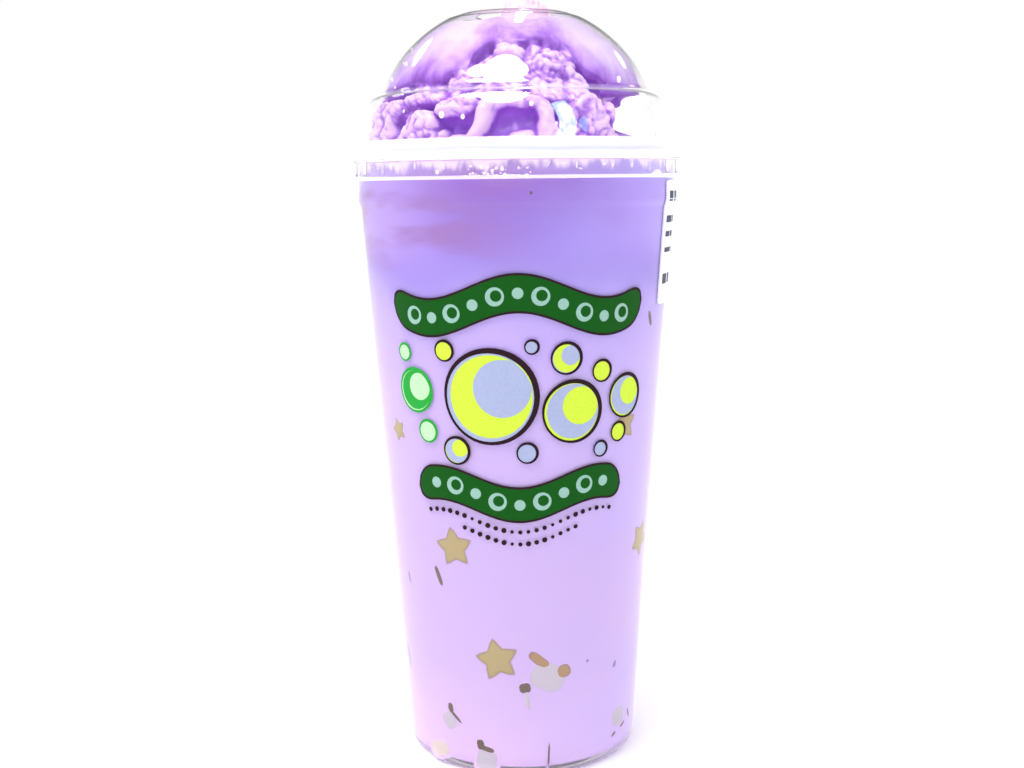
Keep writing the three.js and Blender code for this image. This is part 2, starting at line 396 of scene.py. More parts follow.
def sideHeights(low, high):
    # heights up the side, close together where it steps out to the shoulder
    plain = np.linspace(low, cup["shoulderLow"], 11)
    step = np.linspace(cup["shoulderLow"], cup["shoulderHigh"], 9)
    return [*plain, *step[1:], high]


def floorCorner(low, reach=0.0):
    # where the floor at a low height bends up into the inner wall or what reaches into it
    radius = cup["floorCorner"]
    middle = innerWall(cup["floorTop"] + radius) + reach - radius
    return arc(middle, low + radius, radius, -90, -6, 6)


def cupOutline():
    # from the middle of the foot out, up to the rim, and down the inside to the middle of the floor
    slant = math.degrees(math.atan(cup["taper"]))
    corner, foot, low = cup["corner"], cup["footInner"], cup["straightFrom"]
    centre = cupSide(corner) - corner / math.cos(math.radians(slant))
    return [
        (0, cup["recess"]),
        (foot - 1, cup["recess"]),
        (foot - 0.3, 0.4),
        (foot + 0.2, 0),
        *arc(centre, corner, corner, -90, -slant, 8),
        *[(cupSide(z), z) for z in sideHeights(low, cup["rimLow"])],
        *[(innerWall(z), z) for z in reversed(sideHeights(low + 1, cup["rimLow"]))],
        *reversed(floorCorner(cup["floorTop"])),
        (0, cup["floorTop"]),
    ]


def clearPlastic(name, tint, edgeShadeTint, edgeLow, highlightLines, bump):
    # clear plastic, with painted shade where it is seen edge on above a height and painted highlights glowing
    # along its folds, that lets light straight through
    material, plastic = newMaterial(name)
    tree = material.node_tree
    z = split(ownPlace(tree))["Z"]
    facing = add(tree, "ShaderNodeLayerWeight", {"Blend": 0.5}).outputs["Facing"]
    # painted shade on the edges that are seen edge on, above edgeLow
    shade = times(remap(facing, 0.8, 0.99), remap(z, edgeLow * mm, (edgeLow + 4) * mm))
    # painted highlights: the plastic glows white in thin lines along its folds
    white = 0.0
    for height, half, glow in highlightLines:
        away = reckon("ABSOLUTE", minus(z, height * mm))
        white = plus(white, remap(away, 0.5 * half * mm, half * mm, glow, 0.0))
    fill(plastic, {
        "Base Color": mixColour(shade, tint, edgeShadeTint),
        "Roughness": 0.03,
        "IOR": 1.45,
        "Transmission Weight": 1.0,
        "Emission Strength": white,
        "Emission Color": (1, 0.97, 1, 1),
    })
    grainOn(plastic, 160.0, bump)
    through = add(tree, "ShaderNodeBsdfTransparent", {"Color": (0.97, 0.97, 0.98, 1)})
    path = add(tree, "ShaderNodeLightPath").outputs
    passing = reckon("MAXIMUM", path["Is Shadow Ray"], path["Is Diffuse Ray"])
    mix = add(tree, "ShaderNodeMixShader", {0: passing, 1: plastic.outputs[0], 2: through.outputs[0]})
    give(tree.nodes["Material Output"].inputs["Surface"], mix.outputs[0])
    return material


def makeCup():
    piece = shadeSmooth(turned("cupWall", cupOutline(), cup["steps"]), 35)
    return finished(piece, clearPlastic("cupPlastic", **cup["plastic"]), "cup_plastic", "cup")


rim = {
    "low": 171.4,
    "bead": 0.95,
    "wall": 0.75,
    "stripe": (173.5, 174.6),
    "stripeSoft": 0.25,
    "white": linear(252, 248, 255),
    "shade": linear(205, 208, 242),
}


def rimMaterial():
    # milky plastic with a bluish stripe of painted shade round it
    material, milky = newMaterial("rimPlastic")
    place = ownPlace(material.node_tree)
    level = plus(split(place)["Z"], swing(noiseAt(place, 40, 2), 1.6 * mm))
    low, high = rim["stripe"]
    soft = rim["stripeSoft"]
    above = remap(level, (low - soft) * mm, (low + soft) * mm)
    below = remap(level, (high - soft) * mm, (high + soft) * mm, 1.0, 0.0)
    fill(milky, {
        "Base Color": mixColour(times(above, below), rim["white"], rim["shade"]),
        "Roughness": 0.25,
        "Subsurface Weight": 0.3,
        "Subsurface Scale": 1.5 * mm,
        # a faint white glow, painted light that brightens the milky rim
        "Emission Color": (1, 1, 1, 1),
        "Emission Strength": 0.15,
    })
    grainOn(milky, 300.0, 0.1)
    return material


def makeRim():
    low, bead, top = rim["low"], rim["bead"], cup["rimTop"] - rim["bead"]
    inner = cup["shoulderRadius"] - rim["wall"]
    outline = [
        (inner, low),
        (cup["shoulderRadius"] + 0.02, low),
        (cup["rimOuter"], low + 0.6),
        *arc(cup["rimOuter"] - bead, top, bead, 0, 90, 6),
        *arc(cup["rimInner"] + bead, top, bead, 90, 180, 6),
        (cup["rimInner"], low + 0.8),
        (inner, low),
    ]
    piece = shadeSmooth(turned("cupRim", outline, cup["steps"]), 50)
    return finished(piece, rimMaterial(), "cup_plastic", "cup")


makeCup()
makeRim()
print("cup made")


# the drink: opaque milk tea that reaches just into the cup's wall
drink = {
    "top": 170.9,
    "intoWall": 0.12,
    "steps": 192,
    # height and colour on its way from the pale foot to the dark top
    "colours": [
        (0, linear(222, 190, 235)),
        (30, linear(201, 173, 224)),
        (70, linear(196, 169, 226)),
        (110, linear(197, 171, 233)),
        (132, linear(184, 160, 235)),
        (142, linear(156, 134, 220)),
        (150, linear(148, 121, 217)),
        (158, linear(143, 107, 203)),
        (165, linear(143, 99, 197)),
        (171, linear(172, 132, 216)),
    ],
    "darkTop": (138, 152),  # the streaks and the painted light on its sides come in between these heights
    "streak": linear(150, 104, 172),
    # painted light on its left and right edges, where the bright surroundings brighten the milk
    "litSideLeft": linear(176, 146, 222),
    "litSideRight": linear(174, 150, 236),
    "cool": linear(186, 172, 248),
    "froth": linear(252, 228, 250),
    "frothFrom": 168.6,
    "frothFull": 171.2,
}


def makeMilkColour():
    # the drink's colour at any point of it, also for the film of milk over what is sunk in it
    group, result = newGroup("milkColour", {}, {"Colour": "NodeSocketColor"})
    place = ownPlace(group)
    parts = split(place)
    x, z = parts["X"], parts["Z"]
    level = plus(z, swing(noiseAt(place, 24, 3, 0.5, (1, 1, 1.6)), 24 * mm))
    highest = drink["colours"][-1][0]
    stops = [(height / highest, colour) for height, colour in drink["colours"]]
    body = rampOf(reckon("DIVIDE", level, highest * mm), stops)
    nearTop = remap(z, *[height * mm for height in drink["darkTop"]])

    # painted light: its left and right sides, seen from the front, are made lighter
    edgeLightShare = times(remap(reckon("ABSOLUTE", x), 10 * mm, 38 * mm), nearTop)
    side = mixColour(remap(x, -10 * mm, 10 * mm), drink["litSideLeft"], drink["litSideRight"])
    body = mixColour(edgeLightShare, body, side)

    # dark streaks towards the left, and a cooler cloud towards the right
    layers = remap(noiseAt(place, 18, 3, 0.55, (1, 1, 4)), 0.42, 0.58)
    streaks = times(times(layers, nearTop), remap(x, 14 * mm, -26 * mm))
    body = mixColour(times(streaks, 0.85), body, drink["streak"])
    clouds = remap(noiseAt(place, 30, 2), 0.35, 0.7)
    blue = times(times(clouds, remap(x, -10 * mm, 30 * mm)), 0.35)
    give(result.inputs["Colour"], mixColour(blue, body, drink["cool"]))
    return group


milkColour = makeMilkColour()


def drinkMaterial():
    # milk tea with a ragged edge of froth and drips at its top
    material, milk = newMaterial("taroMilk")
    tree = material.node_tree
    place = ownPlace(tree)
    drips = noiseAt(place, 260, 2, 0.6, (1, 1, 0.28))
    edge = plus(split(place)["Z"], swing(drips, 9 * mm))
    foam = remap(edge, drink["frothFrom"] * mm, drink["frothFull"] * mm)
    body = placeGroup(tree, milkColour)["Colour"]
    fill(milk, {"Base Color": mixColour(foam, body, drink["froth"]), "Roughness": 0.45, "IOR": 1.34})
    return material


def makeDrink():
    low, top, reach = cup["floorTop"] - 0.1, drink["top"], drink["intoWall"]
    side = [(innerWall(z) + reach, z) for z in sideHeights(cup["straightFrom"] + 1, top)]
    outline = [(0, low), *floorCorner(low, reach), *side, (0, top)]
    piece = shadeSmooth(turned("milkTea", outline, drink["steps"]), 35)
    return finished(piece, drinkMaterial(), "drink", "drink")


makeDrink()
print("drink made")


# the lid: a skirt with grip ribs, the band over the rim, a slanted collar and the dome
lid = {
    "wall": 0.45,
    "skirtLow": 166.2,
    "skirtOuter": 45.75,
    "lipOuter": 46.0,
    "bandLow": 171.2,
    "bandOuter": 46.3,
    "bandTop": 176.4,
    # radius and height of the collar's bends, from the band up to the foot of the dome
    "collar": [(44.6, 176.5), (43.45, 181.9), (42.55, 185.2), (41.0, 188.9), (37.9, 189.9)],
    "domeRadius": 41.65,
    "domeCentre": 173.65,
    "domeLow": 194.0,
    "domeHigh": 210.4,
    "flatTop": 211.8,
    "flatRadius": 16.5,
    "hole": 10.5,
    "ribs": 28,
    "stepsPerRib": 14,
    "ribRise": 0.3,
    "plastic": {
        "tint": (0.985, 0.98, 0.99, 1),
        # painted shade on the dome's edges above edgeLow, and painted highlight lines glowing along the folds
        # at these heights
        "edgeShadeTint": (0.22, 0.2, 0.28, 1),
        "edgeLow": 196,
        "highlightLines": [(176.0, 1.0, 0.5), (166.6, 0.6, 0.3), (189.4, 1.1, 0.09)],
        "bump": 0.05,
    },
}


def domeArc(inset, low, high, steps):
    # the dome's side from one height up to another, or a surface that lies inside it
    radius = lid["domeRadius"] - inset
    start, end = [math.degrees(math.asin((z - lid["domeCentre"]) / radius)) for z in (low, high)]
    return arc(0, lid["domeCentre"], radius, start, end, steps)


def domeFoot(inset):
    # where the collar meets the dome, as corners for a rounded outline
    low, high = lid["domeLow"], lid["domeHigh"]
    return [(*domeArc(inset, low, high, 1)[0], 3.0), (*domeArc(inset, low + 4, high, 1)[0], 0)]


def lidOutside():
    # from the skirt's lip up over the band, the collar and the dome, and down into the hole
    low, band, top = lid["skirtLow"], lid["bandLow"], lid["flatTop"]
    lower = [
        (lid["lipOuter"] - 0.45, low, 0),
        (lid["lipOuter"], low, 0.25),
        (lid["lipOuter"], low + 0.75, 0.25),
        (lid["skirtOuter"], low + 1.0, 0.15),
        *[(lid["skirtOuter"], low + 1.6 + 0.55 * i, 0) for i in range(6)],  # the ribs rise from these
        (lid["skirtOuter"], band, 0.25),
        (lid["bandOuter"], band + 0.5, 0.3),
        (lid["bandOuter"], lid["bandTop"], 0.5),
        *[(r, z, size) for (r, z), size in zip(lid["collar"], (0.25, 2.0, 1.5, 1.6, 1.6))],
        *domeFoot(0),
    ]
    return [
        *rounded(lower),
        *domeArc(0, lid["domeLow"] + 4, lid["domeHigh"], 24)[1:],
        *arc(lid["flatRadius"] - 1.5, top - 3.4, 3.4, 62, 90, 4),
        *[(r, top) for r in (14, 13, 12, 11.2)],
        *arc(lid["hole"] + 0.35, top - 0.35, 0.35, 90, 180, 4),
    ]


def makeLid():
    low, skirt = lid["skirtLow"], lid["skirtOuter"]
    outside = lidOutside()
    inside = inwards([point for point in outside if point[1] > low + 1.2], lid["wall"])
    outline = [*outside, *reversed(inside), (skirt - lid["wall"], low), outside[0]]
    steps = lid["ribs"] * lid["stepsPerRib"]
    piece = turned("domeLid", outline, steps)
    ribAngle = 360 / lid["ribs"]
    halfRib = 1.2 * 360 / steps

    def onRib(co):
        azimuth = math.degrees(math.atan2(co.x, -co.y)) % ribAngle
        near = min(azimuth, ribAngle - azimuth) < halfRib
        return near and math.hypot(co.x, co.y) > skirt - 0.1 and low + 1.5 < co.z < lid["bandLow"] - 0.2

    selectPoints(piece, onRib)
    grow = 1 + lid["ribRise"] / skirt
    bpy.ops.transform.resize(value=(grow, grow, 1), center_override=(0, 0, 0))
    switchTo("OBJECT")
    shadeSmooth(piece, 50)
    return finished(piece, clearPlastic("lidPlastic", **lid["plastic"]), "lid_plastic", "dome_lid")


makeLid()
print("lid made")


# the taro ice: crumbly lobes under a smooth hood that is pressed against the dome
ice = {
    "low": 170.5,
    "neck": 43.0,
    "clear": 0.75,
    "tipRadius": 6.8,
    "tipShift": 2.8,
    "tipTop": 217.5,
    "gapDepth": 2.6,  # how deep the gaps between the lobes are, and how much deeper the hollows
    "hollowDepth": 3.6,
    "melt": 0.8,  # how softly neighbours run together
    "around": 600,
    "rows": 160,
    "lobeBow": 0.6,  # how the lobes bulge, where 0.5 is a half ball
    "lumpRows": [(176.5, 30), (182.5, 30), (187.5, 27)],  # height and count of those outside the front
    "front": (-82, 68),
    "warp": 1.5,  # how far their outlines wander, over a distance of warpSize
    "warpSize": 6.5,
    "warpSeed": 1,
    "crag": 1.2,
    "grit": 0.4,
    # the open place at the right: how deep, how much less rough, and azimuths and heights of its slopes
    "pocketDepth": 14.0,
    "pocketCalm": 0.4,
    "pocketRound": (38, 52, 128, 142),
    "pocketUp": (174, 180, 187.5, 191),
}

# the hood's lower edge: azimuth in degrees and height
hoodEdge = [
    (-180, 190), (-130, 191.5), (-95, 188.5), (-71, 188.8), (-54, 190.7), (-41, 191.2), (-33, 190.9),
    (-28, 193.1), (-23, 194.8), (-20, 198.4), (-17, 200.6), (-7, 201.5), (0, 201.4), (6, 200.2),
    (16, 202.6), (24, 202.1), (30, 198.1), (34, 194.2), (38, 192.2), (43, 187.8), (50, 185.0),
    (62, 186.0), (75, 188.5), (95, 189.5), (140, 187.5), (180, 190),
]

# lobes in front: radius, how deep the crown lies, then azimuth and height along the lobe's middle
frontLobes = [
    (3.5, 0.1, (-47, 188.9), (-33.6, 189.2)),
    (3.8, 0.3, (-57.5, 184.0), (-53.5, 187.6)),
    (3.3, 0.8, (-60.2, 178.2), (-58.4, 180.2)),
    (3.8, 0.3, (-69, 182.5), (-66, 187.4)),
    (3.6, 0.9, (-74, 177.5), (-70, 178)),
    (3.8, 0.1, (-27.2, 191), (-19.6, 193.8)),
    (3.4, 0.5, (-19.7, 188.1), (-12, 189.4)),
    (3.8, 0.3, (-15.6, 194.6), (-10.6, 196.6)),
    (3.2, 0.3, (-28.7, 185.5), (-17.3, 187)),
    (4.2, 0.3, (-41.4, 179.7), (-35.9, 181.4)),
    (2.6, 1.0, (-47.5, 177.8), (-46.6, 179.1)),
    (2.0, 1.8, (-31.9, 177.4), (-29.4, 178.1)),
    (2.2, 1.8, (-23.8, 176.7), (-19.3, 177.2)),
    (3.4, 0.5, (-16.4, 176.9), (-12.4, 182.6), (-7.3, 186.5)),
    (3.3, 0.8, (12.8, 177.6), (12, 182.9), (8.8, 186.4)),
    (3.0, 0.6, (-7.3, 187.1), (-1.2, 188), (7.1, 187.2)),
    (2.4, 2.4, (-1, 176.6), (5, 177)),
    (3.6, 0.0, (-4.9, 200.4), (1.0, 199.2)),
    (4.2, 0.4, (-6.2, 193.4), (0, 191.3)),
    (5.6, 0.0, (12.0, 198.0), (20.9, 197.4)),
    (3.0, 0.4, (24.3, 194.2), (27.6, 192.7)),
    (3.1, 0.6, (9.2, 190.2), (19.1, 190.2)),
    (2.9, 0.8, (8.2, 192.8), (13.4, 191.2)),
    (4.7, 0.1, (28.6, 190.6), (29.4, 186.5), (33.2, 181.5)),
    (3.0, 0.4, (31.9, 178.9), (38.5, 178.2)),
    (3.5, 2.4, (19.7, 179.4), (24.1, 177.6)),
    (3.8, 0.2, (42, 183.5), (46, 186)),
    (3.6, 0.2, (45, 178.5), (51, 179)),
    (4.0, 0.3, (55, 182.5), (60, 184)),
    (3.8, 0.4, (60, 177.5), (66, 178)),
    (3.4, 2.4, (19.5, 185.5), (21.5, 183)),
]

# hollows between them: azimuth, height and radius
frontHollows = [
    (-30.9, 191.1, 2.2), (-36, 184.9, 2.0), (-51.9, 180.8, 2.2), (39.3, 186.2, 5.0), (3, 200, 2.4),
    (35.3, 193.6, 3.0), (-27.5, 180.5, 3.4), (-20.5, 180.8, 3.6), (-5.3, 181, 4.6), (5.2, 182, 4.4),
    (20.5, 187.6, 1.4), (17.8, 187.2, 1.4), (16.2, 184.8, 2.6), (18.8, 181.2, 2.6),
]

# where the surface is smooth instead of craggy: azimuth, height, reach round and reach up
smoothPatches = [(-2, 180.5, 15, 7), (-14, 181, 5, 6), (-3, 198.5, 6, 3)]


def scatteredLumps():
    # rows of lumps round the sides and back, each a little off its regular place
    start, end = ice["front"]
    lumps = []
    for row, (height, count) in enumerate(ice["lumpRows"]):
        for i in range(count):
            wobble = math.sin(12.9898 * (i + 1) + 78.233 * (row + 1))
            azimuth = 360 * (i + 0.5 * (row % 2) + 0.25 * wobble) / count - 180
            if -180 <= azimuth < start or end < azimuth <= 180:
                place = (azimuth, height + 1.4 * wobble)
                lumps.append((5.2 + 0.9 * wobble, 0.9 - 0.6 * wobble, place, place))
    return lumps


def iceOutline():
    # the room that the lid leaves, from the drink up and out through the hole
    clear, tip, top = ice["clear"], ice["tipRadius"], lid["flatTop"]
    corners = [
        (ice["neck"], ice["low"], 0),
        (ice["neck"], cup["rimTop"] + 1.2, 0.8),
        *[(r - clear - 0.1, z - drop, 1.2) for (r, z), drop in zip(lid["collar"][2:], (0.3, 1.0, 0.5))],
        *domeFoot(clear),
    ]
    return [
        *rounded(corners),
        *domeArc(clear, lid["domeLow"] + 4, lid["domeHigh"] - clear - 0.6, 16)[1:],
        (tip + 2.4, top - clear - 0.5),
        (tip + 0.3, top - 0.2),
        (tip - 0.1, top + 1.6),
        (tip - 1.2, ice["tipTop"] - 2.0),
        (tip - 3.6, ice["tipTop"] - 0.5),
    ]


def billow(place, size, seed):
    # lumps with sharp creases between them, 0 in a crease and about 1 on a lump
    return min(1.0, abs(noise.noise(place / size + Vector((seed, seed, seed)))) * 2.6)


def onGrid(place, value):
    # a value for each place of a grid
    values = np.array([value(Vector(p)) for p in place.reshape(-1, 3)])
    return values.reshape(place.shape[:2] + values.shape[1:])


def plateau(value, start, full, leave, end):
    # goes from 0 up to 1, stays there, and goes back to 0
    return smoothstep(start, full, value) * (1 - smoothstep(leave, end, value))


def onLimit(limit, azimuth, height):
    angle = math.radians(azimuth)
    radius = float(np.interp(height, limit[:, 1], limit[:, 0]))
    return np.array([radius * math.sin(angle), -radius * math.cos(angle), height])


def awayFromLine(points, corners):
    # how far each point is from a line through the corners
    nearest = np.full(len(points), np.inf)
    for start, end in zip(corners, corners[1:]):
        along = end - start
        share = np.clip((points - start) @ along / max(along @ along, 1e-9), 0, 1)
        nearest = np.minimum(nearest, np.linalg.norm(points - start - share[:, None] * along, axis=1))
    return nearest


def meltedMinimum(first, second, size):
    # the lesser of the two, rounded off where they are nearly the same
    share = np.clip(0.5 + 0.5 * (second - first) / size, 0, 1)
    return second + (first - second) * share - size * share * (1 - share)


def softened(grid, size):
    # blurs a grid of rows and columns, where the columns go right round
    reach = int(3 * size)
    weights = np.exp(-0.5 * (np.arange(-reach, reach + 1) / size) ** 2)
    weights /= weights.sum()
    across = sum(w * np.roll(grid, k - reach, axis=1) for k, w in enumerate(weights))
    padded = np.pad(across, ((reach, reach), (0, 0)), mode="edge")
    return sum(w * padded[k : k + len(grid)] for k, w in enumerate(weights))


def iceGrid(limit):
    # the limit turned round the axis: azimuths, directions across, and places in rows and columns
    azimuths = np.arange(ice["around"]) * 360 / ice["around"] - 180
    turn = np.radians(azimuths)
    across = np.stack([np.sin(turn), -np.cos(turn)])
    place = np.zeros((ice["rows"], ice["around"], 3))
    place[..., :2] = limit[:, :1, None] * across.T
    place[..., 2] = limit[:, 1:]
    return azimuths, across, place


def lobeDepth(limit, warped):
    # how deep the ice lies under its limit on the lobes and between them
    shape = warped.shape[:2]
    flat = warped.reshape(-1, 3)
    gaps = np.full(shape, ice["gapDepth"])
    for azimuth, height, radius in frontHollows:
        away = np.linalg.norm(flat - onLimit(limit, azimuth, height), axis=1).reshape(shape)
        gaps += ice["hollowDepth"] * np.exp(-((away / radius) ** 2))
    gaps = np.minimum(gaps, ice["gapDepth"] + ice["hollowDepth"])
    depth = gaps
    for radius, crown, *path in frontLobes + scatteredLumps():
        away = awayFromLine(flat, [onLimit(limit, *place) for place in path]).reshape(shape)
        share = np.clip(away / radius, 0, 1)
        bulge = crown + (gaps - crown) * (1 - (1 - share**2) ** ice["lobeBow"])
        depth = np.where(share < 1, meltedMinimum(depth, bulge, ice["melt"]), depth)
    return depth


def calmShare(azimuths, heights):
    # about 1 in the middle of a smooth patch
    calm = np.zeros(heights.shape)
    for azimuth, height, reachRound, reachUp in smoothPatches:
        away = ((azimuths - azimuth) / reachRound) ** 2 + ((heights - height) / reachUp) ** 2
        calm = np.maximum(calm, np.exp(-away))
    return np.minimum(1, 1.3 * calm)


def iceRelief(limit, azimuths, place):
    # how deep each place of the grid lies, its share of the pocket, and what the colours with their painted
    # light and shade go by
    noise.seed_set(ice["warpSeed"])  # without it the clock seeds noise_vector, and each run differs
    warped = place + ice["warp"] * onGrid(place, lambda p: noise.noise_vector(p / ice["warpSize"]))
    height = warped[..., 2]
    edge = np.interp(np.degrees(np.arctan2(warped[..., 0], -warped[..., 1])), *np.array(hoodEdge).T)
    underHood = 1 - smoothstep(edge - 0.7, edge + 0.9, height)
    aboveNeck = smoothstep(ice["low"], ice["low"] + 4, place[..., 2])
    onTip = smoothstep(lid["flatTop"] - 3, lid["flatTop"] - 0.5, place[..., 2])
    pocket = plateau(azimuths, *ice["pocketRound"]) * plateau(height, *ice["pocketUp"])

    # crags and grit, held back where the ice is pressed against the plastic
    crags = onGrid(place, lambda p: billow(p, 5.2, 3.1) * 0.55 + billow(p, 2.5, 7.7) * 0.45)
    grit = onGrid(place, lambda p: billow(p, 1.5, 1.3) * 0.6 + billow(p, 0.9, 5.9) * 0.4)
    hollow = ice["crag"] * (1 - crags) + ice["grit"] * (1 - grit)
    rough = (0.1 + 0.9 * underHood) * (1 - 0.85 * calmShare(azimuths, place[..., 2]))
    swell = onGrid(place, lambda p: noise.noise(p / 10 + Vector((9, 2, 4))))
    hoodWaves = np.clip(0.5 + 1.6 * swell, 0, 1.6) * (1 - underHood) * (1 - onTip)
    lobes = lobeDepth(limit, warped) * underHood
    relief = (lobes + hollow * rough) * aboveNeck + (1 - crags) * onTip + hoodWaves

    # how deep, how much deeper than around, how far above the hood's edge, and how much it faces up: the
    # colours paint shade in depths and hollows, under the hood's edge and on undersides by these
    stride = np.linalg.norm(np.gradient(limit, axis=0), axis=1)[:, None]
    along = np.gradient(softened(relief, 1.2), axis=0) / stride
    local, fine = [relief - softened(relief, size) for size in (7, 2)]
    looks = {
        "depth": np.clip(relief / 7.5, 0, 1),
        "hollow": np.clip(0.5 + local / 4 + fine / 1.6, 0, 1),
        "hood": np.clip((height - edge) / 12, 0, 1) * (1 - pocket),
        "tip": onTip,
        "facingUp": np.clip(0.5 + 0.35 * along, 0, 1),
    }
    return relief, pocket, looks


def sunkIn(limit, across, relief, pocket):
    # each place goes in along the outline's own slope, and in the pocket also straight in
    depth = relief * (1 - ice["pocketCalm"] * pocket)
    depth[0] = 0
    slope = np.gradient(limit, axis=0)
    slope = slope / np.linalg.norm(slope, axis=1)[:, None]
    radius = np.maximum(limit[:, :1] - slope[:, 1:] * depth - ice["pocketDepth"] * pocket, 0.5)
    height = np.maximum(limit[:, 1:] + slope[:, :1] * depth, ice["low"])
    shift = ice["tipShift"] * smoothstep(lid["flatTop"] - 3, lid["flatTop"], limit[:, 1:])
    return np.stack([radius * across[0] + shift, radius * across[1], height], axis=2)


def makeIce():
    limit = np.array(resampled(iceOutline(), ice["rows"]))
    piece = turned("taroIce", [(0, ice["low"]), *limit, (0, ice["tipTop"])], ice["around"])
    azimuths, across, place = iceGrid(limit)
    relief, pocket, looks = iceRelief(limit, azimuths, place)
    moved = sunkIn(limit, across, relief, pocket)

    # every side point knows its row of the grid and its column round it
    points = getPoints(piece)
    radius = np.hypot(points[:, 0], points[:, 1])
    side = radius > 1e-3
    row = np.hypot(radius[:, None] - limit[:, 0], points[:, 2:] - limit[:, 1]).argmin(axis=1)
    azimuth = np.degrees(np.arctan2(points[:, 0], -points[:, 1]))
    column = np.round((azimuth + 180) / 360 * ice["around"]).astype(int) % ice["around"]
    placed = np.where(side[:, None], moved[row, column], points)
    placed[~side, 0] += np.where(points[~side, 2] > lid["flatTop"], ice["tipShift"], 0)
    setPoints(piece, placed)
    for name, grid in looks.items():
        attribute = piece.data.attributes.new(name, "FLOAT", "POINT")
        attribute.data.foreach_set("value", np.where(side, grid[row, column], 0).astype(np.float32))
    pick(piece)
    bpy.ops.object.shade_smooth()
    return finished(piece, iceMaterial(), "taro_ice", "taro_ice")


iceColours = {
    # painted light and shade: from the lit crests of the lumps down into their shaded crevices
    "lumps": [
        (0.24, linear(236, 200, 240)),
        (0.42, linear(208, 162, 238)),
        (0.62, linear(176, 116, 224)),
        (0.88, linear(142, 68, 192)),
    ],
    # painted shade where the ice lies deep
    "deep": linear(158, 88, 218),
    # from the hood's lower edge up, with painted shade darkest at that edge under its overhang
    "hood": [
        (0.0, linear(132, 58, 182)),
        (0.16, linear(158, 94, 210)),
        (0.36, linear(184, 134, 228)),
        (0.62, linear(206, 170, 238)),
        (1.0, linear(228, 204, 246)),
    ],
    "tip": linear(252, 206, 240),
}


def iceMaterial():
    material, frost = newMaterial("taroFrost")
    tree = material.node_tree
    place = ownPlace(tree)
    depth, hollow, hood, tip, facingUp = [
        add(tree, "ShaderNodeAttribute", attribute_name=name).outputs["Fac"]
        for name in ("depth", "hollow", "hood", "tip", "facingUp")
    ]
    patches = noiseAt(place, 300, 4, 0.65)
    # painted shade on the undersides, added to the painted light and shade of the hollows
    undersideShade = times(minus(0.5, facingUp), 0.55)
    shade = plus(plus(hollow, swing(patches, 0.4)), undersideShade)
    # painted shade where the ice lies deep
    depthShade = remap(depth, 0.4, 0.8, 0.0, 0.9)
    lumps = mixColour(depthShade, rampOf(shade, iceColours["lumps"]), iceColours["deep"])

    # the hood is streaked from top to bottom
    streaks = noiseAt(place, 280, 3, 0.6, (1, 1, 0.3))
    broad = noiseAt(place, 60, 3, 0.55, (1, 1, 0.45))
    wave = plus(times(streaks, 0.6), times(broad, 0.4))
    # painted shade darkens the hood towards its lower edge
    pressed = rampOf(plus(hood, swing(wave, 1.5)), iceColours["hood"])
    body = mixColour(remap(hood, 0.0, 0.04), lumps, pressed)
    fill(frost, {
        "Base Color": mixColour(times(tip, 0.8), body, iceColours["tip"]),
        "Roughness": remap(patches, 0.3, 0.7, 0.35, 0.7),
        "Subsurface Weight": 0.15,
        "Subsurface Radius": (1.0, 0.5, 1.2),
        "Subsurface Scale": 1 * mm,
    })
    grainOn(frost, 1100.0, 0.9)
    return material


makeIce()
print("ice made")


# the paper label, wrapped over the cup's shoulder
inkThickness = 0.02  # of its bars and of the cup's print
label = {
    "azimuth": 96.43,
    "width": 47.6,  # measured round the cup
    "height": 34.0,
    "middle": 148.5,
    "corner": 1.2,
    "off": 0.05,
    "thickness": 0.42,
    "paper": linear(250, 249, 253),
    # plain bars in place of its print: height, how tall a bar is, and how long
    "rows": [(160.9, 3.4, 5.0), (154.9, 1.9, 6.5), (150.8, 1.5, 9.0), (146.4, 1.3, 12.0), (138.4, 2.8, 7.0)],
    "margin": 2.0,
    "shortest": 2.0,  # room that is left empty at the end of a row
    "ink": linear(72, 74, 104),
}


def sheet(name, width, height, acrossSteps, upSteps):
    # a flat grid of a width and a height in millimetres, round the origin
    deselectAll()
    bpy.ops.mesh.primitive_grid_add(x_subdivisions=acrossSteps, y_subdivisions=upSteps, size=mm)
    switchTo("EDIT")
    bpy.ops.transform.resize(value=(width, height, 1))
    switchTo("OBJECT")
    return named(bpy.context.object, name)


def thickened(piece, thickness):
    # gives a wrapped sheet its thickness, outwards from the cup
    pick(piece)
    switchTo("EDIT")
    bpy.ops.mesh.select_all(action="SELECT")
    bpy.ops.mesh.normals_make_consistent(inside=False)
    switchTo("OBJECT")
    first = piece.data.polygons[0]
    outward = first.normal.x * first.center.x + first.normal.y * first.center.y
    modifier = piece.modifiers.new("thickness", "SOLIDIFY")
    modifier.thickness = thickness * mm
    modifier.offset = 1.0 if outward > 0 else -1.0
    bpy.ops.object.modifier_apply(modifier=modifier.name)
    return piece


def flatMaterial(name, colour, roughness, mottle, grainScale, bump, shine=0.5):
    # an even colour with a light mottle, for paper, ink and froth
    material, coat = newMaterial(name)
    spots = grainOn(coat, grainScale, bump)
    darker = tuple(c * (1 - mottle) for c in colour[:3]) + (1.0,)
    fill(coat, {
        "Base Color": mixColour(remap(spots, 0.35, 0.65), darker, colour),
        "Roughness": remap(spots, 0.3, 0.7, roughness, roughness + 0.15),
        "Specular IOR Level": shine,
    })
    return material


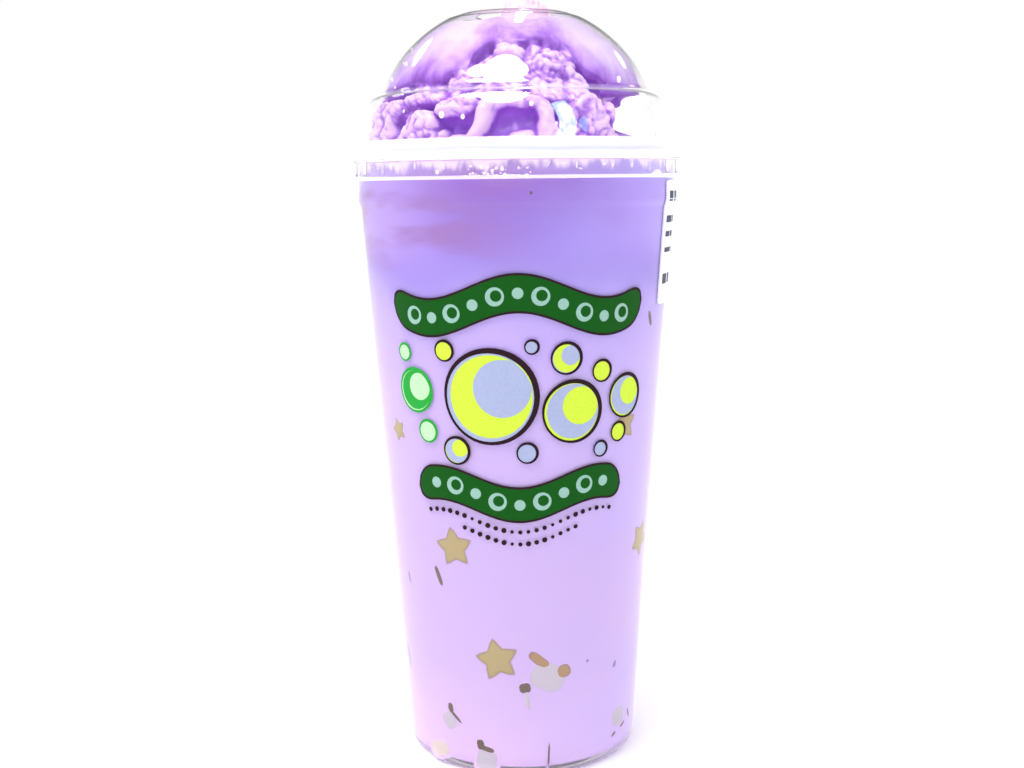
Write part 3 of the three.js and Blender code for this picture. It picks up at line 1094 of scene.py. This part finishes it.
def makeLabel():
    # a sheet with its corners drawn in to quarter circles
    piece = sheet("orderLabel", label["width"], label["height"], 96, 68)
    points = getPoints(piece)
    inner = np.array([label["width"], label["height"]]) / 2 - label["corner"]
    over = np.maximum(np.abs(points[:, :2]) - inner, 0)
    shrink = np.minimum(1, label["corner"] / np.maximum(np.linalg.norm(over, axis=1), 1e-9))
    inside = np.minimum(np.abs(points[:, :2]), inner) + over * shrink[:, None]
    points[:, :2] = np.sign(points[:, :2]) * inside
    points[:, 2] = label["off"]
    setPoints(piece, points)
    wrapped(piece, label["azimuth"], label["middle"], cupSide)
    thickened(piece, label["thickness"])
    shadeSmooth(piece, 40)
    paper = flatMaterial("labelPaper", label["paper"], 0.5, 0.04, 900.0, 0.25)
    return finished(piece, paper, "label_paper", "order_label")


def makeLabelBars():
    # rows of bars of uneven length, just off the paper
    random.seed(11)
    bars = []
    right = label["width"] / 2 - label["margin"]
    out = label["off"] + label["thickness"] + 0.01
    for height, tall, long in label["rows"]:
        at = -right
        while at < right - label["shortest"]:
            length = min(long * random.uniform(0.5, 1.2), right - at)
            bar = sheet("bar", length, tall, max(4, int(length)), 4)
            setPoints(bar, getPoints(bar) + (at + length / 2, height - label["middle"], out))
            wrapped(bar, label["azimuth"], label["middle"], cupSide)
            bars.append(thickened(bar, inkThickness))
            at += length + 0.35 * tall + 0.4
    ink = flatMaterial("barInk", label["ink"], 0.5, 0.2, 900.0, 0.1, 0.2)
    return finished(joined(bars, "labelBars"), ink, "print_ink")


makeLabel()
makeLabelBars()
print("label made")


# the print: two wavy bands with beads, bubbles between them and dots below, in plain generic shapes
# places are s, millimetres round the cup from the front, and height
inks = {
    "green": linear(8, 84, 14),
    "dark": linear(42, 18, 30),
    "bead": linear(150, 190, 178),
    "lime": linear(208, 236, 70),
    "grey": linear(168, 178, 214),
    "leaf": linear(40, 166, 62),
    "mint": linear(190, 240, 186),
}

bands = [
    # middle height, half its length, thickness, rise of its waves, length of a wave, and spacing of its beads
    {"height": 133.6, "half": 38.5, "tall": 10.5, "rise": 3.4, "wave": 51.0, "beads": 6.0},
    {"height": 82.6, "half": 30.5, "tall": 10.0, "rise": -2.6, "wave": 44.0, "beads": 6.0},
]

# s, height, radius, and the inks of its inside, its ring and its crescent
bubbles = [
    (-7.5, 109.6, 13.0, "grey", "dark", "lime"),
    (14.8, 105.2, 8.6, "lime", "dark", "grey"),
    (13.0, 119.6, 4.4, "grey", "dark", "lime"),
    (23.6, 115.6, 3.1, "lime", "dark", None),
    (-30.6, 110.2, 6.2, "mint", "leaf", "leaf"),
    (-26.4, 99.2, 3.2, "mint", "leaf", None),
    (-34.4, 120.4, 2.5, "mint", "leaf", None),
    (32.2, 108.0, 6.2, "lime", "dark", "grey"),
    (29.6, 98.2, 2.8, "lime", "dark", None),
    (2.2, 94.4, 2.9, "grey", "dark", None),
    (-17.2, 94.6, 3.9, "lime", "dark", "grey"),
    (23.2, 94.2, 2.3, "grey", "dark", None),
    (-20.4, 121.6, 2.9, "lime", "dark", None),
    (3.6, 122.9, 2.0, "grey", "dark", None),
]

printSetup = {
    "off": 0.02,
    "layer": 0.025,  # each ink lies this much further out than the one under it
    "edge": 0.65,  # width of the bands' dark edges
    "dotRows": [(2.6, 2.2, 0.62, 27), (6.0, 2.2, 0.62, 16)],  # below the band, spacing, radius, half length
}


def bandMiddle(band, s):
    return band["height"] + band["rise"] * np.cos(2 * math.pi * s / band["wave"])


def ringOutline(inner, outer):
    steps = max(1, math.ceil((outer - inner) / 1.2))
    return [(inner + (outer - inner) * i / steps, 0) for i in range(steps + 1)]


def onCup(piece, s, height, layer):
    points = getPoints(piece)
    points[:, 2] = printSetup["off"] + layer * printSetup["layer"]
    setPoints(piece, points)
    wrapped(piece, math.degrees(s / cupSide(height)), height, cupSide)
    return thickened(piece, inkThickness)


def inkDisc(s, height, radius, layer, inner=0.0, shift=0.0):
    # a disc or a ring, and with a shift its hole is off its middle, so that it looks drawn by hand
    piece = turned("ink", ringOutline(inner, radius), 24 if radius < 2 else 48)
    if shift:
        points = getPoints(piece)
        share = (radius - np.hypot(points[:, 0], points[:, 1])) / (radius - inner)
        points[:, 0] += shift * share
        points[:, 1] += 0.7 * shift * share
        setPoints(piece, points)
    return onCup(piece, s, height, layer)


def inkBand(band, layer, inset=0.0):
    # a wavy band with round ends, or the same band made smaller all round
    half, reach = band["half"] - inset, band["tall"] / 2 - inset
    piece = sheet("ink", 2, 2, 120, 8)
    points = getPoints(piece)
    s = points[:, 0] * half
    fromEnd = np.clip(half - np.abs(s), 0, reach)
    share = np.sqrt(np.clip(1 - (1 - fromEnd / reach) ** 2, 0.0004, 1))
    points[:, 0] = s
    points[:, 1] = bandMiddle(band, s) - band["height"] + points[:, 1] * share * reach
    setPoints(piece, points)
    return onCup(piece, 0, band["height"], layer)


def printBands(pieces):
    for band in bands:
        pieces["dark"].append(inkBand(band, 0))
        pieces["green"].append(inkBand(band, 1, printSetup["edge"]))
        count = int((band["half"] - 3) / band["beads"])
        for i in range(-count, count + 1):
            s = i * band["beads"]
            shape = {"radius": 2.5, "inner": 1.5, "shift": 0.3} if i % 2 else {"radius": 1.5}
            pieces["bead"].append(inkDisc(s, bandMiddle(band, s), layer=2, **shape))


def printBubbles(pieces):
    for s, height, radius, inside, ring, crescent in bubbles:
        pieces[inside].append(inkDisc(s, height, radius, 0))
        if crescent:
            part = inkDisc(s, height, 0.86 * radius, 1, inner=0.6 * radius, shift=0.24 * radius)
            pieces[crescent].append(part)
        width = 0.35 + 0.055 * radius
        pieces[ring].append(inkDisc(s, height, radius + 0.1, 2, inner=radius - width, shift=-0.35 * width))


def printDots(pieces, band):
    for below, spacing, radius, half in printSetup["dotRows"]:
        random.seed(5)
        count = int(half / spacing)
        for i in range(-count, count + 1):
            s = i * spacing
            height = bandMiddle(band, s) - band["tall"] / 2 - below
            pieces["dark"].append(inkDisc(s, height, radius * random.uniform(0.75, 1.2), 0))


def makePrint():
    pieces = {ink: [] for ink in inks}
    printBands(pieces)
    printBubbles(pieces)
    printDots(pieces, bands[1])
    for ink, parts in pieces.items():
        coat = flatMaterial(ink + "InkCoat", inks[ink], 0.45, 0.06, 1500.0, 0.1, 0.1)
        finished(joined(parts, ink + "Ink"), coat, "print_ink")


makePrint()
print("print made")


# jellies: they are sunk in the drink and pressed against the cup, so that milk closes over their edges
jelly = {
    "press": 0.42,  # how far the middle stands out past the cup's inner wall
    "sink": 0.62,  # and how much lower the edge lies
    "thickness": 4.0,
    "film": 0.26,  # milk over it that hides it less and less
    "spread": 1.25,  # how much wider a piece is than what the milk leaves of it
}

# azimuth, height, radius and turn of the stars in front
stars = [
    (-11, 35.4, 9.8, 102),
    (-29, 66.9, 9.0, 26),
    (65.6, 64.4, 8.4, 60),
    (46.2, 99.5, 7.6, 100),
    (-57.2, 97.8, 5.4, 40),
]

# azimuth, height, half width, half height, turn, squareness and kind of the cut pieces in front
chunks = [
    (8.2, 35.0, 4.0, 1.5, -42, 3, "brown"),
    (18.9, 31.3, 2.5, 2.1, 20, 3, "brown"),
    (12.0, 30.2, 5.4, 4.4, -25, 3, "pale"),
    (1.4, 27.2, 1.7, 1.6, 10, 3, "dark"),
    (2.4, 23.6, 0.8, 3.2, 5, 2, "pale"),
    (-38, 57.9, 0.75, 3.1, 20, 3, "dark"),
    (-36.2, 18.9, 0.9, 1.6, 8, 3, "dark"),
    (-34.2, 16.9, 0.55, 3.3, 48, 2, "dark"),
    (-37.5, 15.0, 2.4, 2.8, 30, 3, "pale"),
    (-59.6, 54.5, 0.5, 2.0, 12, 2, "grey"),
    (-69.9, 28.9, 0.7, 4.2, 14, 2, "grey"),
    (-20.6, 9.4, 1.2, 1.7, 10, 3, "dark"),
    (-17.6, 8.3, 2.4, 0.9, -14, 3, "dark"),
    (-17.8, 4.8, 3.2, 3.4, -10, 4, "pale"),
    (12.7, 6.6, 0.28, 4.2, -2, 4, "dark"),
    (60.1, 128.0, 0.9, 2.6, 25, 2, "dark"),
    (66.6, 11.2, 0.5, 2.0, 30, 2, "dark"),
    (60.0, 9.0, 1.6, 0.5, 20, 2, "dark"),
    (55.0, 12.6, 3.0, 3.2, 20, 3, "pale"),
    (51.8, 7.6, 1.2, 0.5, 30, 2, "dark"),
    (31.5, 33.2, 0.5, 0.5, 0, 2, "grey"),
    (49, 29.6, 0.7, 1.2, -20, 2, "grey"),
    (-45.6, 5.0, 4.2, 2.6, 20, 3, "peach"),
    (11.6, 131.2, 0.45, 0.5, 0, 2, "dark"),
    (4.8, 162.6, 0.35, 0.4, 0, 2, "dark"),
]

# colours of a piece's rim and middle; for most kinds the rim is darker as painted shade
jellyColours = {
    "star": (linear(126, 106, 60), linear(174, 154, 108)),
    "brown": (linear(98, 70, 40), linear(168, 132, 98)),
    "pale": (linear(186, 176, 196), linear(192, 182, 196)),
    "dark": (linear(84, 66, 62), linear(104, 84, 74)),
    "grey": (linear(150, 140, 186), linear(136, 126, 176)),
    "peach": (linear(206, 186, 200), linear(216, 198, 192)),
}

# those at the sides and back, scattered between two azimuths and two heights
hiddenJellies = {
    "seed": 7,
    "stars": 9,
    "chunks": 26,
    "round": (82, 282),
    "up": (6, 118),
    "starLift": 6,
    "starSizes": (5, 7.6),
    "narrowest": 0.5,
    "widest": {"brown": 3.4, "dark": 1.2, "grey": 1.2, "pale": 3.4},
    "tall": (0.8, 3.2),
}


def starReach(radius, inner=0.52):
    # how far a rounded star reaches, by the angle from one of its tips
    def reach(angle):
        part = math.radians(36)
        within = abs((angle + part) % (2 * part) - part)
        point, waist = radius, inner * radius
        line = point * waist * math.sin(part) / (point * math.sin(within) + waist * math.sin(part - within))
        return (line**-7 + (0.95 * radius) ** -7) ** (-1 / 7)
    return reach


def chunkReach(halfWidth, halfHeight, squareness):
    def reach(angle):
        across = abs(math.cos(angle)) / halfWidth
        up = abs(math.sin(angle)) / halfHeight
        return (across**squareness + up**squareness) ** (-1 / squareness)
    return reach


def jellyPiece(reach, azimuth, height, turn):
    # a thick flat piece with a bowed face, as wide all round as its reach says
    shares = (0, 0.3, 0.5, 0.65, 0.76, 0.85, 0.92, 1)
    face = [(share, jelly["press"] - jelly["sink"] * share**4) for share in shares]
    piece = turned("jelly", [*face, (0.98, -jelly["thickness"]), (0, -jelly["thickness"])], 60)
    points = getPoints(piece)
    angles = np.arctan2(points[:, 1], points[:, 0])
    far = np.hypot(points[:, 0], points[:, 1]) * [reach(angle) for angle in angles]
    angles += math.radians(turn)
    points[:, 0], points[:, 1] = far * np.cos(angles), far * np.sin(angles)
    setPoints(piece, points)
    return wrapped(piece, azimuth, height, innerWall)


def makeSunkInMilk():
    # how clear of the milk a place on a jelly is, from 0 at the drink's surface up to 1
    group, result = newGroup("sunkInMilk", {}, {"Clear": "NodeSocketFloat"})
    place = ownPlace(group)
    x, y, z = split(place)
    radius = reckon("SQRT", plus(times(x, x), times(y, y)))
    foot = cup["baseRadius"] - cup["wall"] + drink["intoWall"]
    clear = minus(radius, plus(times(z, cup["taper"]), foot * mm))
    clear = plus(clear, swing(noiseAt(place, 330), 0.12 * mm))
    give(result.inputs["Clear"], remap(clear, 0.02 * mm, jelly["film"] * mm))
    return group


sunkInMilk = makeSunkInMilk()


def jellyMaterial(kind):
    material, gel = newMaterial(kind + "Jelly")
    tree = material.node_tree
    clear = placeGroup(tree, sunkInMilk)["Clear"]
    milky = placeGroup(tree, milkColour)["Colour"]
    # the rim colour, mostly darker as painted shade, fades into the middle
    shape = mixColour(remap(clear, 0.45, 1.0), *jellyColours[kind])
    fill(gel, {"Base Color": mixColour(remap(clear, 0.0, 0.85), milky, shape), "Roughness": 0.4, "IOR": 1.35})
    grainOn(gel, 500.0, 0.2)
    return material


def scatterJellies(pieces, setup):
    random.seed(setup["seed"])
    kinds = list(setup["widest"])
    for i in range(setup["stars"] + setup["chunks"]):
        azimuth = random.uniform(*setup["round"])
        height = random.uniform(*setup["up"])
        turn = random.uniform(0, 180)
        if i < setup["stars"]:
            reach = starReach(random.uniform(*setup["starSizes"]))
            pieces["star"].append(jellyPiece(reach, azimuth, height + setup["starLift"], turn))
        else:
            kind = kinds[i % len(kinds)]
            wide = random.uniform(setup["narrowest"], setup["widest"][kind])
            reach = chunkReach(wide, random.uniform(*setup["tall"]), 3)
            pieces[kind].append(jellyPiece(reach, azimuth, height, turn))


def makeJellies():
    pieces = {kind: [] for kind in jellyColours}
    for azimuth, height, radius, turn in stars:
        pieces["star"].append(jellyPiece(starReach(radius), azimuth, height, turn))
    for azimuth, height, halfWidth, halfHeight, turn, squareness, kind in chunks:
        reach = chunkReach(jelly["spread"] * halfWidth, jelly["spread"] * halfHeight, squareness)
        pieces[kind].append(jellyPiece(reach, azimuth, height, turn))
    scatterJellies(pieces, hiddenJellies)
    for kind, parts in pieces.items():
        piece = shadeSmooth(joined(parts, kind + "Jellies"), 50)
        finished(piece, jellyMaterial(kind), "star_jelly")


makeJellies()
print("jellies made")


# froth: white drips and bubbles at the drink's top edge, seen through the skirt
froth = {
    "white": linear(255, 240, 252),
    # azimuth, height, half width, half height and turn
    "drips": [
        (-62, 169.6, 0.5, 1.5, 5), (-55, 169.2, 0.35, 0.5, 0), (-47.3, 170.0, 0.45, 1.2, -8),
        (-36, 170.0, 0.4, 1.3, 0), (-24.7, 169.8, 0.4, 1.3, 4), (10.7, 169.9, 0.22, 1.4, -32),
        (15.3, 170.2, 1.7, 0.3, 2), (20.2, 169.6, 0.35, 1.2, 0), (21.6, 168.6, 0.7, 0.25, -10),
        (30.5, 169.8, 0.7, 0.5, 0), (34, 169.6, 0.4, 0.8, 0), (42.5, 169.5, 0.6, 0.9, 0),
        (57, 167.5, 3.4, 1.0, 0),
    ],
    # where a cluster of small bubbles sits: azimuth, height, spread of both, and how many
    "bubbles": (-7.0, 168.3, 5.5, 1.1, 34),
    "bubbleSizes": (0.18, 0.62),
    "between": (167, 170.2),  # the heights that they keep to
}


def makeFroth():
    random.seed(3)
    pieces = []
    for azimuth, height, halfWidth, halfHeight, turn in froth["drips"]:
        pieces.append(jellyPiece(chunkReach(halfWidth, halfHeight, 2), azimuth, height, turn))
    azimuth, height, wide, tall, count = froth["bubbles"]
    low, high = froth["between"]
    for _ in range(count):
        size = random.uniform(*froth["bubbleSizes"])
        reach = chunkReach(size, size * random.uniform(0.6, 1), 2)
        across, up = azimuth + random.gauss(0, wide), height + random.gauss(0, tall)
        pieces.append(jellyPiece(reach, across, min(max(up, low), high), random.uniform(0, 90)))
    piece = shadeSmooth(joined(pieces, "frothDrips"), 50)
    return finished(piece, flatMaterial("frothWhite", froth["white"], 0.3, 0.05, 700.0, 0.3), "drink")


makeFroth()
print("froth made")


# drops of water on the inside of the lid, painted white and glowing as their highlights
drops = {
    # azimuth, height and radius of those in front
    "front": [
        (-31.6, 182.3, 0.45), (-26.6, 182.6, 0.8), (-18.5, 181.9, 0.55), (2.0, 186.4, 0.6),
        (5.5, 184.9, 0.55), (-3.7, 186.8, 0.4), (-52.9, 189.3, 0.45), (48.8, 191.9, 0.8),
        (-44, 184.0, 0.35), (14, 180, 0.35),
    ],
    # the others are scattered between two azimuths, heights and radii
    "scattered": 40,
    "between": [(60, 300), (178, 204), (0.25, 0.6)],
    "off": 0.12,  # how far outside the ice their middles are
    "squash": (1, 0.45, 1.15),
    # the white of their painted highlights
    "colour": linear(255, 250, 255),
}


def dropGlintMaterial():
    material, water = newMaterial("glintingDrops")
    # painted highlights: white and glowing a little, as the drops' glints
    fill(water, {
        "Base Color": drops["colour"],
        "Roughness": 0.15,
        "Emission Color": drops["colour"],
        "Emission Strength": 0.25,
    })
    grainOn(water, 600.0, 0.1)
    return material


def makeDrop(limit, azimuth, height, radius):
    # a ball at the ice's limit, flattened against the lid and drawn out a little downwards
    middle = onLimit(limit, azimuth, height)
    outward = 1 + drops["off"] / math.hypot(middle[0], middle[1])
    place = Vector((middle[0] * outward, middle[1] * outward, middle[2])) * mm
    deselectAll()
    bpy.ops.mesh.primitive_uv_sphere_add(segments=16, ring_count=10, radius=radius * mm, location=place)
    bpy.ops.transform.resize(value=drops["squash"])
    bpy.ops.transform.rotate(value=-math.radians(azimuth), orient_axis="Z", center_override=place)
    bpy.ops.object.transform_apply(location=True, rotation=True, scale=True)
    return bpy.context.object


def makeDrops():
    limit = np.array(resampled(iceOutline(), ice["rows"]))
    random.seed(21)
    places = list(drops["front"])
    for _ in range(drops["scattered"]):
        places.append([random.uniform(*span) for span in drops["between"]])
    piece = pick(joined([makeDrop(limit, *place) for place in places], "waterDrops"))
    bpy.ops.object.shade_smooth()
    return finished(piece, dropGlintMaterial(), "taro_ice")


makeDrops()
print("drops made")


# stage and light
def makeFloor():
    deselectAll()
    bpy.ops.mesh.primitive_plane_add(size=40)
    floor = named(bpy.context.object, "floor")
    material, paint = newMaterial("floorPaint")
    fill(paint, {"Base Color": (0.93, 0.93, 0.935, 1), "Roughness": 0.7})
    grainOn(paint, 300.0, 0.03)
    floor.data.materials.append(material)


makeFloor()

# lamps: azimuth, elevation, width, height, roll, brightness, colour, shape
# the first only lights, the others only show as highlights
softboxes = {
    "overhead": (-40, 66, 0.70, 0.70, 0, 5, (1, 0.98, 1), "ELLIPSE"),
    "frontMain": (-13, 56, 0.58, 0.58, 0, 16, (1, 0.98, 1), "ELLIPSE"),
    "frontSide": (-42, 53, 0.30, 0.30, 0, 13, (1, 0.98, 1), "ELLIPSE"),
    "backAbove": (176, 55, 0.06, 0.46, 0, 14, (1, 1, 1), "RECTANGLE"),
    "rightWedge": (38, 28, 0.20, 0.40, 14, 11, (0.55, 1, 0.92), "RECTANGLE"),
    "blueWedge": (52, 19, 0.10, 0.22, 14, 8, (0.1, 0.5, 1), "RECTANGLE"),
    "backLeft": (-138, 35, 0.34, 0.12, 0, 1.8, (1, 0.97, 1), "ELLIPSE"),
    "backRight": (139, 29, 0.20, 0.09, 0, 1.8, (1, 0.97, 1), "ELLIPSE"),
}
softboxDistance = 1.0  # metres, as their widths and heights are too


def placeSoftboxes():
    aim = Vector((0, 0, 190 * mm))
    for name, (azimuth, elevation, width, height, roll, brightness, colour, shape) in softboxes.items():
        turn, lift = math.radians(azimuth), math.radians(elevation)
        way = Vector((math.sin(turn) * math.cos(lift), -math.cos(turn) * math.cos(lift), math.sin(lift)))
        bpy.ops.object.light_add(type="AREA", location=aim + way * softboxDistance)
        lamp = named(bpy.context.object, name)
        upright = (-way).to_track_quat("-Z", "Y").to_matrix()
        lamp.rotation_euler = (upright @ Matrix.Rotation(math.radians(roll), 3, "Z")).to_euler()
        lamp.data.shape = shape
        lamp.data.size = width
        lamp.data.size_y = height
        lamp.data.color = colour
        lamp.data.energy = brightness * width * height * math.pi
        lamp.visible_camera = False
        lamp.visible_diffuse = name == "overhead"
        lamp.visible_glossy = lamp.visible_transmission = name != "overhead"


def lightWorld():
    # soft light from all round, stronger from behind, with its own brightness in reflections
    world = bpy.data.worlds.new("studio")
    bpy.context.scene.world = world
    world.use_nodes = True
    tree = world.node_tree
    parts = split(add(tree, "ShaderNodeTexCoord").outputs["Generated"])
    strength = remap(parts["Y"], -0.9, 0.5, 0.7, 1.5)
    mirrored = remap(parts["Z"], 0.1, 0.4, 1.3, 0.2)
    path = add(tree, "ShaderNodeLightPath").outputs
    for ray, seen in (("Is Glossy Ray", mirrored), ("Is Camera Ray", 1.0)):
        swap = add(tree, "ShaderNodeMix", {0: path[ray], 2: strength, 3: seen}, data_type="FLOAT")
        strength = swap.outputs[0]
    fill(tree.nodes["Background"], {"Strength": strength, "Color": (1, 1, 1, 1)})


placeSoftboxes()
lightWorld()
bpy.context.scene.view_settings.view_transform = "Standard"
print("lights placed")
